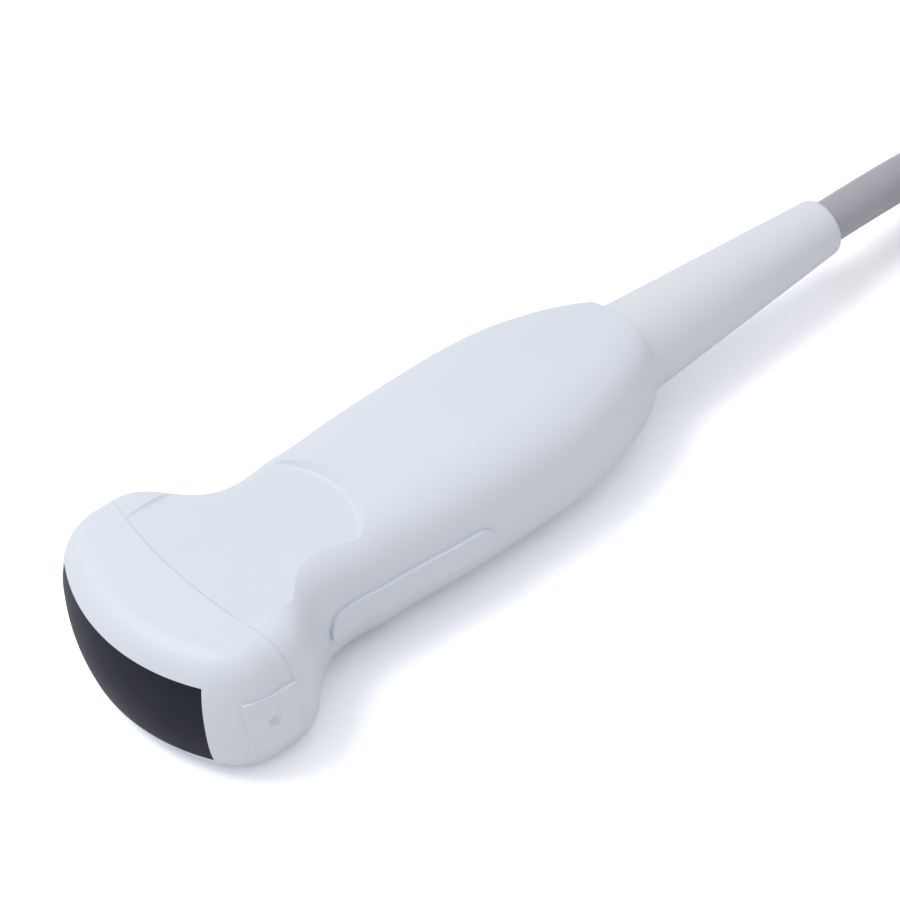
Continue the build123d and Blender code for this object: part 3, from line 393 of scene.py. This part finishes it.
# Slot, colour, roughness, size and depth of the grain in millimetres, and what else it sets
FINISHES = [
    ("housing", (0.69, 0.735, 0.815), 0.48, 0.35, 0.006, {"mottle": 0.015}),
    ("lens_silicone", (0.013, 0.015, 0.030), 0.5, 0.6, 0.01, {"specular": 0.12}),
    ("relief_elastomer", (0.71, 0.735, 0.80), 0.5, 0.4, 0.01, {"mottle": 0.02}),
    ("cable_jacket", (0.39, 0.395, 0.435), 0.45, 0.5, 0.012, {"mottle": 0.03}),
    ("seal_rubber", (0.64, 0.68, 0.755), 0.6, 0.5, 0.02, {}),
    ("matching_resin", (0.17, 0.10, 0.04), 0.4, 0.3, 0.01, {}),
    ("piezo_ceramic", (0.48, 0.40, 0.23), 0.5, 0.2, 0.01, {}),
    ("backing", (0.012, 0.012, 0.014), 0.7, 0.3, 0.03, {}),
    ("frame_polymer", (0.014, 0.014, 0.016), 0.5, 0.4, 0.02, {}),
    ("aluminium", (0.60, 0.61, 0.63), 0.35, 0.25, 0.006, {"metallic": 1.0}),
    ("polyimide", (0.34, 0.09, 0.006), 0.25, 0.8, 0.006, {}),
    ("board_laminate", (0.004, 0.05, 0.018), 0.3, 0.5, 0.008, {}),
    ("part_black", (0.008, 0.008, 0.009), 0.5, 0.3, 0.01, {}),
    ("ferrite", (0.02, 0.02, 0.022), 0.55, 0.2, 0.02, {}),
    ("steel", (0.45, 0.45, 0.46), 0.32, 0.2, 0.004, {"metallic": 1.0}),
    ("shield_sheet", (0.50, 0.49, 0.46), 0.38, 0.6, 0.01, {"metallic": 1.0}),
    ("coax", (0.28, 0.29, 0.34), 0.5, 0.5, 0.08, {}),
    ("contact_gold", (0.66, 0.40, 0.09), 0.25, 0.2, 0.003, {"metallic": 1.0}),
    ("ferrule_brass", (0.50, 0.34, 0.11), 0.35, 0.2, 0.006, {"metallic": 1.0}),
    ("connector_grey", (0.115, 0.12, 0.14), 0.5, 0.35, 0.02, {"mottle": 0.03}),
    ("knob_grey", (0.028, 0.03, 0.034), 0.45, 0.35, 0.02, {}),
    ("contact_moulding", (0.012, 0.012, 0.013), 0.5, 0.3, 0.01, {}),
    ("tie_fabric", (0.012, 0.012, 0.014), 0.9, 0.9, 0.2, {}),
]
materials = {
    slot: new_material(slot, colour, roughness, size * MM, depth * MM, **more)
    for slot, colour, roughness, size, depth, more in FINISHES
}


def dress(piece, material):
    piece.data.materials.clear()
    piece.data.materials.append(material)


for part in frame["record"]["subparts"]:
    dress(nodes[part["node"]], materials[part["material_slot"]])
dress(cord, materials["cable_jacket"])
dress(bead, materials["seal_rubber"])
for piece in tie_pieces:
    dress(piece, materials["tie_fabric"])


# Stage: a pale floor, a white surround and a soft lamp above, from the front and the side without the rib
FLOOR_SIZE = 6
FLOOR_COLOUR = (0.8, 0.8, 0.8)
FLOOR_ROUGHNESS = 0.9
FLOOR_SEEN = (1.36, 1.37, 1.42)
FLOOR_GLOW = 0.15
WORLD_LEVEL = 0.69
LAMP_PLACE = (-0.33, 0.3, 0.9)
LAMP_TARGET = (-0.02, 0, 0)
LAMP_SIZE = 0.5
LAMP_POWER = 4.1


def add_stage():
    """A plain floor for the light that the camera sees as white, with a faint glow in reflections."""
    bpy.ops.mesh.primitive_plane_add(size=FLOOR_SIZE)
    floor = bpy.context.object
    floor.name = "floor"
    material = bpy.data.materials.new("floor")
    material.use_nodes = True
    tree = material.node_tree
    shader = tree.nodes["Principled BSDF"]
    shader.inputs["Base Color"].default_value = (*FLOOR_COLOUR, 1)
    shader.inputs["Roughness"].default_value = FLOOR_ROUGHNESS
    rays = tree.nodes.new("ShaderNodeLightPath")
    pale = tree.nodes.new("ShaderNodeBsdfDiffuse")
    pale.inputs["Color"].default_value = (*FLOOR_SEEN, 1)
    seen = tree.nodes.new("ShaderNodeMixShader")
    tree.links.new(rays.outputs["Is Camera Ray"], seen.inputs["Fac"])
    tree.links.new(shader.outputs["BSDF"], seen.inputs[1])
    tree.links.new(pale.outputs["BSDF"], seen.inputs[2])
    glow = tree.nodes.new("ShaderNodeEmission")
    glow.inputs["Color"].default_value = (1, 1, 1, 1)
    level = tree.nodes.new("ShaderNodeMath")
    level.operation = "MULTIPLY"
    level.inputs[1].default_value = FLOOR_GLOW
    tree.links.new(rays.outputs["Is Glossy Ray"], level.inputs[0])
    tree.links.new(level.outputs["Value"], glow.inputs["Strength"])
    both = tree.nodes.new("ShaderNodeAddShader")
    tree.links.new(seen.outputs["Shader"], both.inputs[0])
    tree.links.new(glow.outputs["Emission"], both.inputs[1])
    tree.links.new(both.outputs["Shader"], tree.nodes["Material Output"].inputs["Surface"])
    dress(floor, material)


def add_world():
    world = bpy.data.worlds.new("studio")
    bpy.context.scene.world = world
    world.use_nodes = True
    tree = world.node_tree
    tree.nodes["Background"].inputs["Color"].default_value = (1, 1, 1, 1)
    tree.nodes["Background"].inputs["Strength"].default_value = WORLD_LEVEL
    rays = tree.nodes.new("ShaderNodeLightPath")
    seen = tree.nodes.new("ShaderNodeMath")
    seen.operation = "MAXIMUM"
    tree.links.new(rays.outputs["Is Camera Ray"], seen.inputs[0])
    tree.links.new(rays.outputs["Is Transmission Ray"], seen.inputs[1])
    white = tree.nodes.new("ShaderNodeBackground")
    white.inputs["Color"].default_value = (1, 1, 1, 1)
    white.inputs["Strength"].default_value = 1.0
    mix = tree.nodes.new("ShaderNodeMixShader")
    tree.links.new(seen.outputs["Value"], mix.inputs["Fac"])
    tree.links.new(tree.nodes["Background"].outputs["Background"], mix.inputs[1])
    tree.links.new(white.outputs["Background"], mix.inputs[2])
    tree.links.new(mix.outputs["Shader"], tree.nodes["World Output"].inputs["Surface"])


def add_lamp(name, place, target, size, power):
    data = bpy.data.lights.new(name, "AREA")
    data.shape = "SQUARE"
    data.size = size
    data.energy = power
    lamp = bpy.data.objects.new(name, data)
    lamp.location = place
    lamp.rotation_euler = (Vector(target) - Vector(place)).to_track_quat("-Z", "Y").to_euler()
    bpy.context.scene.collection.objects.link(lamp)


add_stage()
add_world()
add_lamp("overhead", LAMP_PLACE, LAMP_TARGET, LAMP_SIZE, LAMP_POWER)

bpy.context.scene.view_settings.view_transform = "Standard"
bpy.context.view_layer.update()
